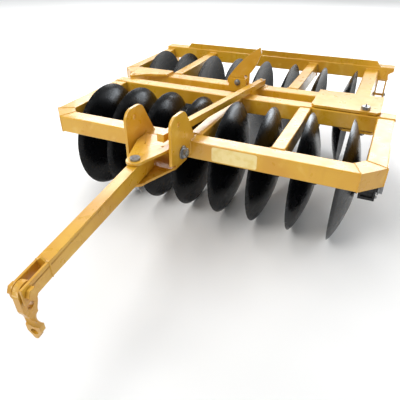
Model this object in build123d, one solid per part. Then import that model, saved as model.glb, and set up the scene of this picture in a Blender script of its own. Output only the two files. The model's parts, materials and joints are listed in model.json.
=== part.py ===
from build123d import *
import os
from math import asin, atan2, cos, degrees, radians, sin, sqrt

# A trailed offset disc harrow, parked on its discs with both gangs parallel.
# Lengths are millimetres and angles are degrees. While the pieces are made, X runs right from the
# front frame's right side, Y runs back from its fore face and Z runs up from the ground.
# At the end everything is moved so that the origin is under the middle of the whole machine.

# Discs
DISC_COUNT = 8
DISC_SPACING = 230
DISC_DIAMETER = 710
DISC_THICKNESS = 6
DISC_DISH = 90
DISC_SEAT_DIAMETER = 130
DISC_BEVEL = 16
DISC_EDGE = 1.5

# Gang bolt and spools
BOLT_SIDE = 32
BOLT_HOLE_CLEARANCE = 0.5
SPOOL_FLANGE_DIAMETER = 112
SPOOL_FLANGE_THICKNESS = 12
SPOOL_WAIST_DIAMETER = 66
END_WASHER_DIAMETER = 84
END_WASHER_THICKNESS = 6
END_NUT_DIAMETER = 62
END_NUT_THICKNESS = 20

# Bearings and hangers
JOURNAL_DIAMETER = 56
RUNNING_CLEARANCE = 0.05
TURNING_GAP = 6
HOUSING_DIAMETER = 92
HOUSING_FOOT_WIDTH = 80
HANGER_INSET = 12
HANGER_DEPTH = 90
HANGER_PLATE = 12
HANGER_TOP_WIDTH = 190
HANGER_FOOT_WIDTH = 104
HANGER_FOOT_HEIGHT = 309
HANGER_WINDOW_GAP = 10

# Frames
BEAM = 100
BEAM_ROUNDING = 7
FRAME_TOP = 640
FRAME_DEPTH = 840
REAR_FRAME_DEPTH = 920
FRAME_FAR_MARGIN = 140
CORNER_CUT = 108
CROSS_BEAM_WIDTH = 75
REAR_LEFT_TRIM = 48
REAR_LEFT_BEAM_WIDTH = 75
FRAME_GAP = 130
REAR_FRAME_SHIFT = 170
AFT_BEAM_RAISE = 24
AFT_BEAM_OVERHANG = 109
AFT_BEAM_UNDERCUT = 33
AFT_BEAM_LIP = 50
AFT_BEAM_LIP_SLOPE = 22
RAIL_HEIGHT = 42
RAIL_WIDTH = 60
RAIL_THICKNESS = 8
RAIL_LEFT_INSET = 217
RAIL_RIGHT_INSET = 104
RAIL_END_SLOPE = 30
STAY_PLATE = 12
STAY_WIDTH = 60
STAY_SLOT = 52
STAY_DROP = 160
STAY_PIN_DIAMETER = 20

# Hinge between the frames
HINGE_PIN_DIAMETER = 36
HINGE_LIFT = 5
HINGE_COLLAR_DIAMETER = 84
HINGE_X = -175
HINGE_BARREL_DIAMETER = 60
HINGE_PLATE = 16
HINGE_PLATE_LENGTH = 410
HINGE_PLATE_MARGIN = 90
HINGE_PLATE_NOSE = 42
HINGE_PLATE_CORNER = 26
HINGE_LOWER_LENGTH = 220
HINGE_HEAD_DIAMETER = 55
HINGE_HEAD_THICKNESS = 20
LOCK_PLATE_INSET = 144
LOCK_PLATE_LENGTH = 303
LOCK_PLATE_REACH = 156
LOCK_PLATE_TIP_INSET = 51
LOCK_PLATE_TIP_ROUNDING = 18
LOCK_PLATE_SHOULDER_INSET = 147
LOCK_PLATE_SHOULDER_REACH = 64
LOCK_PLATE_HEEL_REACH = 15
LOCK_HOLE_SETBACK = 53
LOCK_HOLE_INSET = 14
LOCK_HOLE_DIAMETER = 28

# Hitch plates, jaw and pivot
HITCH_X = -1104
HITCH_PLATE = 16
HITCH_PLATE_SPACING = 252
HITCH_PLATE_HEIGHT = 190
HITCH_PLATE_TOP_WIDTH = 150
HITCH_TOP_AFT = -46
HITCH_TOP_ROUNDING = 60
HITCH_FOOT = 64
HITCH_TOE_REACH = 115
HITCH_TOE_DROP = 32
HITCH_HEEL_SETBACK = 15
HITCH_HEEL_DROP = 48
HITCH_HOLE_DIAMETER = 24
HITCH_HOLE_Y = -121
HITCH_HOLE_DROP = 48
PIVOT_DIAMETER = 30
PIVOT_Y = -90
PIVOT_Z = 616
PIVOT_WASHER_DIAMETER = 70
PIVOT_WASHER_THICKNESS = 8
PIVOT_HEAD_DIAMETER = 52
PIVOT_HEAD_THICKNESS = 20
PIVOT_TUBE_DIAMETER = 52
PIVOT_TUBE_GAP = 1
JAW_TOP = 658
JAW_PLATE = 14
JAW_OPENING = 100
JAW_SIDE_GAP = 5
JAW_WEB = 12
JAW_SHOULDER_Y = -125
JAW_NOSE_RADIUS = 45
JAW_BACK_Y = -14
JAW_TOP_BACK_Y = -35
JAW_STOP_HEIGHT = 50
JAW_HOLE_DIAMETER = 12
JAW_HOLE_X = 52
JAW_HOLE_Y = -150
SEAT_GAP = 0.3

# Drawbar
DRAWBAR_PIN_Y = -322
DRAWBAR_PIN_DIAMETER = 28
DRAWBAR_PIN_HEAD_DIAMETER = 50
DRAWBAR_PIN_HEAD_THICKNESS = 12
DRAWBAR_PIN_TAIL = 36
DRAWBAR_YAW = 7
DRAWBAR_WIDTH = 54
DRAWBAR_LENGTH = 862
DRAWBAR_TAIL = 150
DRAWBAR_SLACK = 3
DRAWBAR_NOSE_HEIGHT = 68
NOSE_OPEN_LENGTH = 135
NOSE_CHEEK = 10
NOSE_TIP = 16
NOSE_ROUNDING = 30
NOSE_BOLT_DIAMETER = 30
NOSE_BOLT_INSET = 30
NOSE_HEAD_DIAMETER = 48
NOSE_HEAD_THICKNESS = 16

# Hitch link
LINK_THICKNESS = 24
LINK_EYE_WIDTH = 72
LINK_SLOT_LENGTH = 92
LINK_SHOULDER_DROP = 58
LINK_WAIST_DROP = 112
LINK_WAIST_WIDTH = 40
LINK_TWIST_LENGTH = 46
LINK_TWIST_STEPS = 7
LINK_LEAF_WIDTH = 56
LINK_HOLE_DROP = 186
LINK_TIP_DROP = 222
LINK_TIP_RADIUS = 12
LINK_HOLE_DIAMETER = 28

# Brace bar between the hitch plate and the rear frame
BRACE_SIDE = 40
BRACE_REAR_X = -905
BRACE_REAR_INSET = 50
BRACE_PAD = 6
BRACE_LUG_GAP = 3
BRACE_TAIL = 28
BRACE_FRONT_Y = -180
BRACE_GUIDE_GAP = 11
BRACE_PLATE_GAP = 4
BRACE_GUIDE_Y = 5
BRACE_GUIDE_WIDTH = 50
BRACE_GUIDE_PLATE = 8
BRACE_GUIDE_Z = 712
BRACE_GUIDE_HEADROOM = 17
BRACE_PIN_DIAMETER = 20
BRACE_PIN_HEIGHT = 56
BRACE_PAD_WIDTH = 70

# Latch on the rear frame
LATCH_LEFT = -1149
LATCH_DEPTH = 60
LATCH_SKIRT = 37
LATCH_CHEEK_INSET = 22
LATCH_CHEEK_ROUNDING = 20
LATCH_HEIGHT = 55
LATCH_CHEEK = 12
LATCH_BASE = 10
LATCH_LEVER_THICKNESS = 16
LATCH_BOLT_DIAMETER = 24
LATCH_BOLT_X = 87
LATCH_BOLT_Z = 30
LATCH_CHEEK_LENGTH = 130
LEVER_HEEL = 41
LEVER_BASE_WIDTH = 164
LEVER_SHOULDER = 87
LEVER_TIP_X = 231
LEVER_TIP_Z = 276
LEVER_TIP_WIDTH = 39
LEVER_TIP_LEAN = 10
LEVER_LEFT_SAG = 18
LEVER_RIGHT_BULGE = 9
LEVER_HOLE_DIAMETER = 22
LEVER_HOLE_X = 138
LEVER_HOLE_Z = 66

# Values worked out from the sizes above
FRAME_BOTTOM = FRAME_TOP - BEAM
AXLE_Z = DISC_DIAMETER / 2
AXLE_Y = FRAME_DEPTH / 2
GANG_LENGTH = (DISC_COUNT - 1) * DISC_SPACING
NEAR_MARGIN = HANGER_INSET + HANGER_DEPTH + TURNING_GAP + SPOOL_FLANGE_THICKNESS + DISC_DISH
FRAME_LENGTH = GANG_LENGTH + NEAR_MARGIN + FRAME_FAR_MARGIN
REAR_RIGHT = -REAR_FRAME_SHIFT
REAR_LEFT = REAR_RIGHT - FRAME_LENGTH + REAR_LEFT_TRIM
REAR_FORE = FRAME_DEPTH + FRAME_GAP
HINGE_Y = FRAME_DEPTH - BEAM / 2
HINGE_Z = FRAME_BOTTOM
JAW_BOTTOM = JAW_TOP - 2 * JAW_PLATE - JAW_OPENING
JAW_HALF_WIDTH = (HITCH_PLATE_SPACING - HITCH_PLATE) / 2 - JAW_SIDE_GAP
HITCH_INNER = (HITCH_PLATE_SPACING - HITCH_PLATE) / 2
DRAWBAR_TOP = JAW_TOP - JAW_PLATE - DRAWBAR_SLACK
DRAWBAR_BOTTOM = JAW_BOTTOM + JAW_PLATE + DRAWBAR_SLACK
BRACE_X = HITCH_X + HITCH_INNER - BRACE_GUIDE_GAP - BRACE_SIDE / 2 - BRACE_PLATE_GAP
BRACE_REAR_Y = REAR_FORE + BRACE_REAR_INSET
BRACE_HEADING = degrees(atan2(BRACE_REAR_X - BRACE_X, BRACE_REAR_Y - BRACE_GUIDE_Y))
BRACE_REAR_Z = FRAME_TOP + BRACE_PAD + BRACE_LUG_GAP + BRACE_SIDE / 2
BRACE_SLOPE = degrees(atan2(BRACE_GUIDE_Z - BRACE_REAR_Z, BRACE_REAR_Y - BRACE_GUIDE_Y))


# Shapes that several pieces use
def block(x, y, z):
    """A box between the low and high ends given for each axis."""
    middle = Pos((x[0] + x[1]) / 2, (y[0] + y[1]) / 2, (z[0] + z[1]) / 2)
    return middle * Box(x[1] - x[0], y[1] - y[0], z[1] - z[0])


def plan(points, z):
    """An outline seen from above, between two heights."""
    face = make_face(Polyline(*[(px, py) for px, py in points], close=True))
    return Pos(0, 0, z[0]) * extrude(face, amount=z[1] - z[0])


def side(points, x):
    """An outline of Y and Z, between two places along X."""
    face = make_face(Polyline(*points, close=True))
    return extrude(Plane.YZ.offset(x[0]) * face, amount=x[1] - x[0], dir=(1, 0, 0))


def upright(points, y):
    """An outline of X and Z, between two places along Y."""
    face = make_face(Polyline(*points, close=True))
    return extrude(Plane.XZ.offset(-y[0]) * face, amount=y[1] - y[0], dir=(0, 1, 0))


def rounded(beam, axis):
    """A box-section beam with its long edges along the axis rounded."""
    return fillet(beam.edges().filter_by(axis), BEAM_ROUNDING)


def rod_x(x, y, z, diameter):
    """A round rod along X."""
    return Pos((x[0] + x[1]) / 2, y, z) * Rot(0, 90, 0) * Cylinder(diameter / 2, x[1] - x[0])


def rod_y(x, y, z, diameter):
    """A round rod along Y."""
    return Pos(x, (y[0] + y[1]) / 2, z) * Rot(90, 0, 0) * Cylinder(diameter / 2, y[1] - y[0])


def rod_z(x, y, z, diameter):
    """A round rod along Z."""
    return Pos(x, y, (z[0] + z[1]) / 2) * Cylinder(diameter / 2, z[1] - z[0])


def hex_x(x, y, z, diameter):
    """A hexagon nut or head along X, given across its corners."""
    face = Plane.YZ * RegularPolygon(diameter / 2, 6)
    return Pos(x[0], y, z) * extrude(face, amount=x[1] - x[0], dir=(1, 0, 0))


def hex_z(x, y, z, diameter):
    """A hexagon nut or head along Z, given across its corners."""
    return Pos(x, y, z[0]) * extrude(RegularPolygon(diameter / 2, 6), amount=z[1] - z[0])


def group(pieces):
    """Like pieces that stay separate solids of one node."""
    solids = []
    for piece in pieces:
        solids.extend(piece.solids())
    return Compound(solids)


# Discs and spools
def disc_hollow():
    """The radius of a disc's hollow sphere and where its centre lies from the rim plane."""
    seat, rim = DISC_SEAT_DIAMETER / 2, DISC_DIAMETER / 2
    depth = DISC_DISH - DISC_THICKNESS
    rim_reach = (rim ** 2 - seat ** 2 - depth ** 2) / (2 * depth)
    return sqrt(rim ** 2 + rim_reach ** 2), -rim_reach


def disc(rim_x, bulge):
    """A dished disc whose rim lies at rim_x and whose middle stands out along X by the bulge's sign."""
    seat, rim = DISC_SEAT_DIAMETER / 2, DISC_DIAMETER / 2
    depth, bevel = DISC_DISH - DISC_THICKNESS, rim - DISC_BEVEL
    hollow, centre = disc_hollow()
    back = hollow + DISC_THICKNESS
    back_seat = sqrt(back ** 2 - (DISC_DISH - centre) ** 2)

    def dish(radius, out):
        return (centre + sqrt(radius ** 2 - out ** 2), out)

    outline = Line((depth, 0), (depth, seat))
    outline += ThreePointArc((depth, seat), dish(hollow, (seat + rim) / 2), (0, rim))
    outline += Polyline((0, rim), (DISC_EDGE, rim), dish(back, bevel))
    outline += ThreePointArc(dish(back, bevel), dish(back, (back_seat + bevel) / 2), (DISC_DISH, back_seat))
    outline += Polyline((DISC_DISH, back_seat), (DISC_DISH, 0), (depth, 0))
    body = revolve(make_face(outline), Axis.X)
    hole = BOLT_SIDE + 2 * BOLT_HOLE_CLEARANCE
    body -= Box(4 * DISC_DISH, hole, hole)
    if bulge < 0:
        body = Rot(0, 0, 180) * body
    return Pos(rim_x, 0, 0) * body


def spool(x):
    """A cast spool between two disc faces, waisted in the middle."""
    low, high = x
    flange = SPOOL_FLANGE_DIAMETER / 2
    neck = 0.82 * flange
    waist = SPOOL_WAIST_DIAMETER / 2
    inner_low, inner_high = low + SPOOL_FLANGE_THICKNESS, high - SPOOL_FLANGE_THICKNESS
    outline = Polyline((low, 0), (low, flange), (inner_low, flange), (inner_low, neck))
    outline += ThreePointArc((inner_low, neck), ((low + high) / 2, waist), (inner_high, neck))
    outline += Polyline((inner_high, neck), (inner_high, flange), (high, flange), (high, 0), (low, 0))
    hole = BOLT_SIDE + 2 * BOLT_HOLE_CLEARANCE
    return revolve(make_face(outline), Axis.X) - Pos((low + high) / 2, 0, 0) * Box(2 * (high - low), hole, hole)


def end_spool(hub_x, hanger_x, end_x):
    """The spool beyond the last disc: a flange at the disc and a journal that turns in the bearing."""
    way = 1 if end_x > hub_x else -1
    neck_x = hanger_x - way * TURNING_GAP
    flange_x = hub_x + way * SPOOL_FLANGE_THICKNESS
    flange = SPOOL_FLANGE_DIAMETER / 2
    outline = [(hub_x, 0), (hub_x, flange), (flange_x, flange), (flange_x, JOURNAL_DIAMETER / 2)]
    outline += [(end_x, JOURNAL_DIAMETER / 2), (end_x, 0)]
    body = revolve(make_face(Polyline(*outline, close=True)), Axis.X)
    hole = BOLT_SIDE + 2 * BOLT_HOLE_CLEARANCE
    return body - Pos((hub_x + end_x) / 2, 0, 0) * Box(2 * abs(end_x - hub_x), hole, hole)


def gang(name, right, axle_y, bulge):
    """The discs, spools and bolt of one gang; right is its frame's right side."""
    left = right - FRAME_LENGTH
    last_rim = right - (NEAR_MARGIN if bulge > 0 else FRAME_FAR_MARGIN)
    rims = [last_rim - (DISC_COUNT - 1 - k) * DISC_SPACING for k in range(DISC_COUNT)]
    hubs = []
    for rim in rims:
        inner, outer = rim + bulge * (DISC_DISH - DISC_THICKNESS), rim + bulge * DISC_DISH
        hubs.append((min(inner, outer), max(inner, outer)))
    place = Pos(0, axle_y, AXLE_Z)
    discs = group([place * disc(rim, bulge) for rim in rims])
    spools = [spool((hubs[k][1], hubs[k + 1][0])) for k in range(DISC_COUNT - 1)]
    journal_right = right - HANGER_INSET + TURNING_GAP
    journal_left = left + HANGER_INSET - TURNING_GAP
    hanger_right = right - HANGER_INSET - HANGER_DEPTH
    hanger_left = left + HANGER_INSET + HANGER_DEPTH
    spools.append(end_spool(hubs[-1][1], hanger_right, journal_right))
    spools.append(end_spool(hubs[0][0], hanger_left, journal_left))
    bolt = Pos((journal_left + journal_right) / 2, 0, 0) * Box(journal_right - journal_left, BOLT_SIDE, BOLT_SIDE)
    for end, way in ((journal_right, 1), (journal_left, -1)):
        washer = sorted((end, end + way * END_WASHER_THICKNESS))
        nut = sorted((washer[0] if way < 0 else washer[1], end + way * (END_WASHER_THICKNESS + END_NUT_THICKNESS)))
        bolt += rod_x(washer, 0, 0, END_WASHER_DIAMETER)
        bolt += hex_x(nut, 0, 0, END_NUT_DIAMETER)
    return {
        name + "_discs": discs,
        name + "_spools": group([place * piece for piece in spools]),
        name + "_gang_bolt": place * bolt,
    }


# Hangers and bearings
def hanger(low, axle_y):
    """Two upright plates under a top flange, closed below by a stack of two foot plates."""
    high = low + HANGER_DEPTH
    top, foot = HANGER_TOP_WIDTH / 2, HANGER_FOOT_WIDTH / 2
    upright = [
        (axle_y - top, FRAME_BOTTOM - HANGER_PLATE),
        (axle_y - foot, AXLE_Z + HOUSING_DIAMETER / 2),
        (axle_y - foot, HANGER_FOOT_HEIGHT),
        (axle_y + foot, HANGER_FOOT_HEIGHT),
        (axle_y + foot, AXLE_Z + HOUSING_DIAMETER / 2),
        (axle_y + top, FRAME_BOTTOM - HANGER_PLATE),
    ]
    plates = side(upright, (low, low + HANGER_PLATE)) + side(upright, (high - HANGER_PLATE, high))
    window = JOURNAL_DIAMETER + 2 * HANGER_WINDOW_GAP
    plates -= rod_x((low - 1, high + 1), axle_y, AXLE_Z, window)
    flange = block((low, high), (axle_y - top, axle_y + top), (FRAME_BOTTOM - HANGER_PLATE, FRAME_BOTTOM))
    upper_foot = block(
        (low, high), (axle_y - foot, axle_y + foot), (HANGER_FOOT_HEIGHT - HANGER_PLATE, HANGER_FOOT_HEIGHT)
    )
    lower_foot = block(
        (low, high),
        (axle_y - foot + HANGER_PLATE, axle_y + foot - HANGER_PLATE),
        (HANGER_FOOT_HEIGHT - 2 * HANGER_PLATE, HANGER_FOOT_HEIGHT - HANGER_PLATE),
    )
    return plates + flange + upper_foot + lower_foot


def bearing(low, axle_y):
    """A round bearing housing on a foot between a hanger's plates."""
    x = (low + HANGER_PLATE, low + HANGER_DEPTH - HANGER_PLATE)
    half = HOUSING_FOOT_WIDTH / 2
    body = rod_x(x, axle_y, AXLE_Z, HOUSING_DIAMETER)
    body += block(x, (axle_y - half, axle_y + half), (HANGER_FOOT_HEIGHT, AXLE_Z))
    bore = JOURNAL_DIAMETER + 2 * RUNNING_CLEARANCE
    return body - rod_x((x[0] - 1, x[1] + 1), axle_y, AXLE_Z, bore)


def carriers(name, right, axle_y):
    """The hangers and bearings at both ends of one gang."""
    places = {
        "left": right - FRAME_LENGTH + HANGER_INSET,
        "right": right - HANGER_INSET - HANGER_DEPTH,
    }
    pieces = {}
    for end, low in places.items():
        pieces[f"{name}_hanger_{end}"] = hanger(low, axle_y)
        pieces[f"{name}_bearing_{end}"] = bearing(low, axle_y)
    return pieces


# Frames
def frame(name, ends, fore, depth, bulge, left_width, cross_beams):
    """One box-section frame; cross_beams counts discs from the right to the gap that each one fills."""
    left, right = ends
    aft = fore + depth
    diagonal = CORNER_CUT + BEAM * sqrt(2)
    inner_cut = diagonal - BEAM
    z = (FRAME_BOTTOM, FRAME_TOP)
    pieces = {}
    fore_beam = [(left + CORNER_CUT, fore), (right - CORNER_CUT, fore)]
    fore_beam += [(right - inner_cut, fore + BEAM), (left + inner_cut, fore + BEAM)]
    pieces[name + "_fore_beam"] = rounded(plan(fore_beam, z), Axis.X)
    for end, outer, way, width in (("left", left, 1, left_width), ("right", right, -1, BEAM)):
        beam = [(outer + way * CORNER_CUT, fore), (outer, fore + CORNER_CUT), (outer, aft - BEAM)]
        beam += [(outer + way * width, aft - BEAM), (outer + way * width, fore + diagonal - width)]
        beam += [(outer + way * inner_cut, fore + BEAM)]
        pieces[f"{name}_{end}_beam"] = rounded(plan(beam, z), Axis.Y)
    last_rim = right - (NEAR_MARGIN if bulge > 0 else FRAME_FAR_MARGIN)
    hollow, centre = disc_hollow()
    shift = bulge * (centre + sqrt(hollow ** 2 - (FRAME_BOTTOM - AXLE_Z) ** 2)) / 2
    for end, discs_from_right in cross_beams:
        between = last_rim - (discs_from_right - 0.5) * DISC_SPACING + shift
        half = CROSS_BEAM_WIDTH / 2
        beam = block((between - half, between + half), (fore + BEAM, aft - BEAM), z)
        pieces[f"{name}_cross_beam_{end}"] = rounded(beam, Axis.Y)
    return pieces


def front_aft_beam():
    """The front frame's aft beam, bored upright for the hinge bush."""
    beam = block((-FRAME_LENGTH, 0), (FRAME_DEPTH - BEAM, FRAME_DEPTH), (FRAME_BOTTOM, FRAME_TOP))
    return rounded(beam, Axis.X) - rod_z(HINGE_X, HINGE_Y, (0, 2 * FRAME_TOP), HINGE_BARREL_DIAMETER)


def rear_aft_beam():
    """The rear frame's raised aft beam, whose right end runs out to a lip past the stay."""
    top, bottom = FRAME_TOP + AFT_BEAM_RAISE, FRAME_BOTTOM + AFT_BEAM_RAISE
    tip = REAR_RIGHT + AFT_BEAM_OVERHANG
    lip = top - AFT_BEAM_LIP
    outline = [(REAR_LEFT, bottom), (tip - AFT_BEAM_UNDERCUT, bottom), (tip - AFT_BEAM_UNDERCUT, lip)]
    outline += [(tip, lip + AFT_BEAM_LIP_SLOPE), (tip, top), (REAR_LEFT, top)]
    aft = REAR_FORE + REAR_FRAME_DEPTH
    beam = upright(outline, (aft - BEAM, aft))
    long_edges = beam.edges().filter_by(Axis.X).filter_by(lambda edge: edge.length > FRAME_LENGTH / 2)
    return fillet(long_edges, BEAM_ROUNDING)


def rear_extras():
    """The angle rail on top of the rear frame's aft beam and the slotted stays under its ends."""
    aft = REAR_FORE + REAR_FRAME_DEPTH
    beam_top, beam_bottom = FRAME_TOP + AFT_BEAM_RAISE, FRAME_BOTTOM + AFT_BEAM_RAISE
    left, right = REAR_LEFT + RAIL_LEFT_INSET, REAR_RIGHT + AFT_BEAM_OVERHANG - RAIL_RIGHT_INSET
    y = aft - BEAM + BEAM_ROUNDING
    ends = [(left, beam_top), (right, beam_top), (right - RAIL_END_SLOPE, beam_top + RAIL_HEIGHT)]
    ends += [(left + RAIL_END_SLOPE, beam_top + RAIL_HEIGHT)]
    rail = upright(ends, (y, y + RAIL_THICKNESS))
    rail += block((left, right), (y, y + RAIL_WIDTH), (beam_top, beam_top + RAIL_THICKNESS))
    pieces = {"rear_aft_beam": rear_aft_beam(), "rear_rail": rail}
    middle = aft - BEAM / 2
    depth = (middle - STAY_WIDTH / 2, middle + STAY_WIDTH / 2)
    drop = beam_bottom - STAY_DROP
    for end, near in (("left", REAR_LEFT), ("right", REAR_RIGHT)):
        far = near + 2 * STAY_PLATE + STAY_SLOT
        stay = block((near, near + STAY_PLATE), depth, (drop, beam_bottom))
        stay += block((far - STAY_PLATE, far), depth, (drop, beam_bottom))
        stay += block((near, far), depth, (beam_bottom - STAY_PLATE, beam_bottom))
        stay += rod_x((near, far), middle, drop + STAY_WIDTH / 2, STAY_PIN_DIAMETER)
        pieces[f"rear_stay_{end}"] = stay
    return pieces


# Hinge
def lifted_plate(outline, seat, way):
    """A plate held off the beams by HINGE_LIFT, on a packer of the outline seat; way is 1 on top of them."""
    face = FRAME_TOP if way > 0 else FRAME_BOTTOM
    near, far = face + way * HINGE_LIFT, face + way * (HINGE_LIFT + HINGE_PLATE)
    return plan(outline, sorted((near, far))) + plan(seat, sorted((face, near)))


def hinge_plate(length, way):
    """One of the plates that hold the hinge pin above and below the front frame's aft beam."""
    right = HINGE_X + HINGE_PLATE_MARGIN
    left, corner = right - length, HINGE_PLATE_CORNER
    fore, aft = HINGE_Y - HINGE_PLATE_NOSE, REAR_FORE + BEAM - BEAM_ROUNDING
    outline = [(left, fore + corner), (left + corner, fore), (right - corner, fore), (right, fore + corner)]
    outline += [(right, aft), (left, aft)]
    seat_fore, seat_right = REAR_FORE + BEAM_ROUNDING, REAR_RIGHT - CORNER_CUT
    seat = [(left, seat_fore), (seat_right, seat_fore), (seat_right, aft), (left, aft)]
    plate = lifted_plate(outline, seat, way)
    return plate - rod_z(HINGE_X, HINGE_Y, (0, 2 * FRAME_TOP), HINGE_PIN_DIAMETER + 2 * RUNNING_CLEARANCE)


def lock_plate():
    """The pointed plate on the rear frame's left fore corner, with the lock pin's hole in its tip."""
    left = REAR_LEFT + LOCK_PLATE_INSET
    right, tip = left + LOCK_PLATE_LENGTH, left + LOCK_PLATE_TIP_INSET
    aft, seat_fore = REAR_FORE + BEAM - BEAM_ROUNDING, REAR_FORE + BEAM_ROUNDING
    outline = [(left, aft), (left, seat_fore), (tip, REAR_FORE - LOCK_PLATE_REACH)]
    outline += [(left + LOCK_PLATE_SHOULDER_INSET, REAR_FORE - LOCK_PLATE_SHOULDER_REACH)]
    outline += [(right, REAR_FORE - LOCK_PLATE_HEEL_REACH), (right, aft)]
    seat = [(left, seat_fore), (right, seat_fore), (right, aft), (left, aft)]
    plate = lifted_plate(outline, seat, 1)
    nose = plate.edges().filter_by(Axis.Z).sort_by(Axis.Y)[0]
    plate = fillet(nose, LOCK_PLATE_TIP_ROUNDING)
    return plate - rod_z(*lock_hole_place(), (0, 2 * FRAME_TOP), LOCK_HOLE_DIAMETER)


def lock_hole_place():
    """X and Y of the lock pin's hole."""
    tip = REAR_LEFT + LOCK_PLATE_INSET + LOCK_PLATE_TIP_INSET
    return tip + LOCK_HOLE_INSET, REAR_FORE - LOCK_PLATE_REACH + LOCK_HOLE_SETBACK


def hinge():
    """The bush through the front frame's aft beam, the plates on the rear frame and the upright pin."""
    reach = HINGE_LIFT - SEAT_GAP
    collar_low, collar_high = (FRAME_BOTTOM - reach, FRAME_BOTTOM), (FRAME_TOP, FRAME_TOP + reach)
    barrel = rod_z(HINGE_X, HINGE_Y, (collar_low[0], collar_high[1]), HINGE_BARREL_DIAMETER)
    barrel += rod_z(HINGE_X, HINGE_Y, collar_low, HINGE_COLLAR_DIAMETER)
    barrel += rod_z(HINGE_X, HINGE_Y, collar_high, HINGE_COLLAR_DIAMETER)
    barrel -= rod_z(HINGE_X, HINGE_Y, (0, 2 * FRAME_TOP), HINGE_PIN_DIAMETER + 2 * RUNNING_CLEARANCE)
    pin_top, pin_bottom = FRAME_TOP + HINGE_LIFT + HINGE_PLATE, FRAME_BOTTOM - HINGE_LIFT - HINGE_PLATE
    pin = rod_z(HINGE_X, HINGE_Y, (pin_bottom, pin_top), HINGE_PIN_DIAMETER)
    pin += hex_z(HINGE_X, HINGE_Y, (pin_top, pin_top + HINGE_HEAD_THICKNESS), HINGE_HEAD_DIAMETER)
    pin += hex_z(HINGE_X, HINGE_Y, (pin_bottom - HINGE_HEAD_THICKNESS, pin_bottom), HINGE_HEAD_DIAMETER)
    return {
        "hinge_barrel": barrel,
        "hinge_plate_upper": hinge_plate(HINGE_PLATE_LENGTH, 1),
        "hinge_plate_lower": hinge_plate(HINGE_LOWER_LENGTH, -1),
        "hinge_pin": pin,
        "lock_plate": lock_plate(),
    }


# Hitch plates and pivot
def hitch_plate(middle_x):
    """A tall plate on the fore beam, tapered to a rounded top, with the pivot hole low and a pin hole high."""
    top = FRAME_TOP + HITCH_PLATE_HEIGHT
    x = (middle_x - HITCH_PLATE / 2, middle_x + HITCH_PLATE / 2)
    toe, heel = PIVOT_Z - HITCH_TOE_DROP, PIVOT_Z - HITCH_HEEL_DROP
    points = [(PIVOT_Y - HITCH_TOE_REACH, toe), (PIVOT_Y - HITCH_HEEL_SETBACK, heel), (0, heel), (0, FRAME_TOP)]
    points += [(HITCH_FOOT, FRAME_TOP), (HITCH_TOP_AFT, top), (HITCH_TOP_AFT - HITCH_PLATE_TOP_WIDTH, top)]
    plate = side(points, x)
    upper_edges = plate.edges().filter_by(Axis.X).sort_by(Axis.Z)[-2:]
    plate = fillet(upper_edges, HITCH_TOP_ROUNDING)
    plate -= rod_x((x[0] - 1, x[1] + 1), PIVOT_Y, PIVOT_Z, PIVOT_DIAMETER + 2 * RUNNING_CLEARANCE)
    plate -= rod_x((x[0] - 1, x[1] + 1), HITCH_HOLE_Y, top - HITCH_HOLE_DROP, HITCH_HOLE_DIAMETER)
    return plate


def hitch():
    """Both tall plates and the pivot bolt with its washers, head and nut."""
    half = HITCH_PLATE_SPACING / 2
    outer = half + HITCH_PLATE / 2
    bolt = rod_x((HITCH_X - outer, HITCH_X + outer), PIVOT_Y, PIVOT_Z, PIVOT_DIAMETER)
    for way in (-1, 1):
        face = HITCH_X + way * outer
        washer = sorted((face, face + way * PIVOT_WASHER_THICKNESS))
        under_head = face + way * PIVOT_WASHER_THICKNESS
        head = sorted((under_head, under_head + way * PIVOT_HEAD_THICKNESS))
        bolt += rod_x(washer, PIVOT_Y, PIVOT_Z, PIVOT_WASHER_DIAMETER)
        bolt += hex_x(head, PIVOT_Y, PIVOT_Z, PIVOT_HEAD_DIAMETER)
    return {
        "hitch_plate_left": hitch_plate(HITCH_X - half),
        "hitch_plate_right": hitch_plate(HITCH_X + half),
        "hitch_pivot_bolt": bolt,
    }


# Jaw
def jaw():
    """Two pointed plates joined by webs, the pivot tube and the stop plate behind."""
    half = JAW_HALF_WIDTH

    def pointed(z, back):
        nose = JAW_NOSE_RADIUS
        outline = Polyline((-nose, DRAWBAR_PIN_Y), (-half, JAW_SHOULDER_Y), (-half, back), (half, back))
        outline += Polyline((half, back), (half, JAW_SHOULDER_Y), (nose, DRAWBAR_PIN_Y))
        outline += ThreePointArc((nose, DRAWBAR_PIN_Y), (0, DRAWBAR_PIN_Y - nose), (-nose, DRAWBAR_PIN_Y))
        return Pos(0, 0, z[0]) * extrude(make_face(outline), amount=z[1] - z[0])

    low, high = JAW_BOTTOM + JAW_PLATE, JAW_TOP - JAW_PLATE
    body = pointed((high, JAW_TOP), JAW_TOP_BACK_Y) + pointed((JAW_BOTTOM, low), JAW_BACK_Y)
    web = [(JAW_SHOULDER_Y, low), (JAW_BACK_Y, low), (JAW_BACK_Y, low + JAW_STOP_HEIGHT)]
    web += [(JAW_TOP_BACK_Y, high), (JAW_SHOULDER_Y, high)]
    body += side(web, (-half, -half + JAW_WEB)) + side(web, (half - JAW_WEB, half))
    body += block((-half, half), (JAW_BACK_Y, -SEAT_GAP), (JAW_BOTTOM, low + JAW_STOP_HEIGHT))
    tube = HITCH_INNER - PIVOT_TUBE_GAP
    body += rod_x((-tube, tube), PIVOT_Y, PIVOT_Z, PIVOT_TUBE_DIAMETER)
    body -= rod_x((-2 * tube, 2 * tube), PIVOT_Y, PIVOT_Z, PIVOT_DIAMETER + 2 * RUNNING_CLEARANCE)
    body -= rod_z(0, DRAWBAR_PIN_Y, (0, 2 * JAW_TOP), DRAWBAR_PIN_DIAMETER + 2 * RUNNING_CLEARANCE)
    for way in (-1, 1):
        body -= rod_z(way * JAW_HOLE_X, JAW_HOLE_Y, (high, 2 * JAW_TOP), JAW_HOLE_DIAMETER)
    return {"jaw": Pos(HITCH_X, 0, 0) * body}


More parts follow.
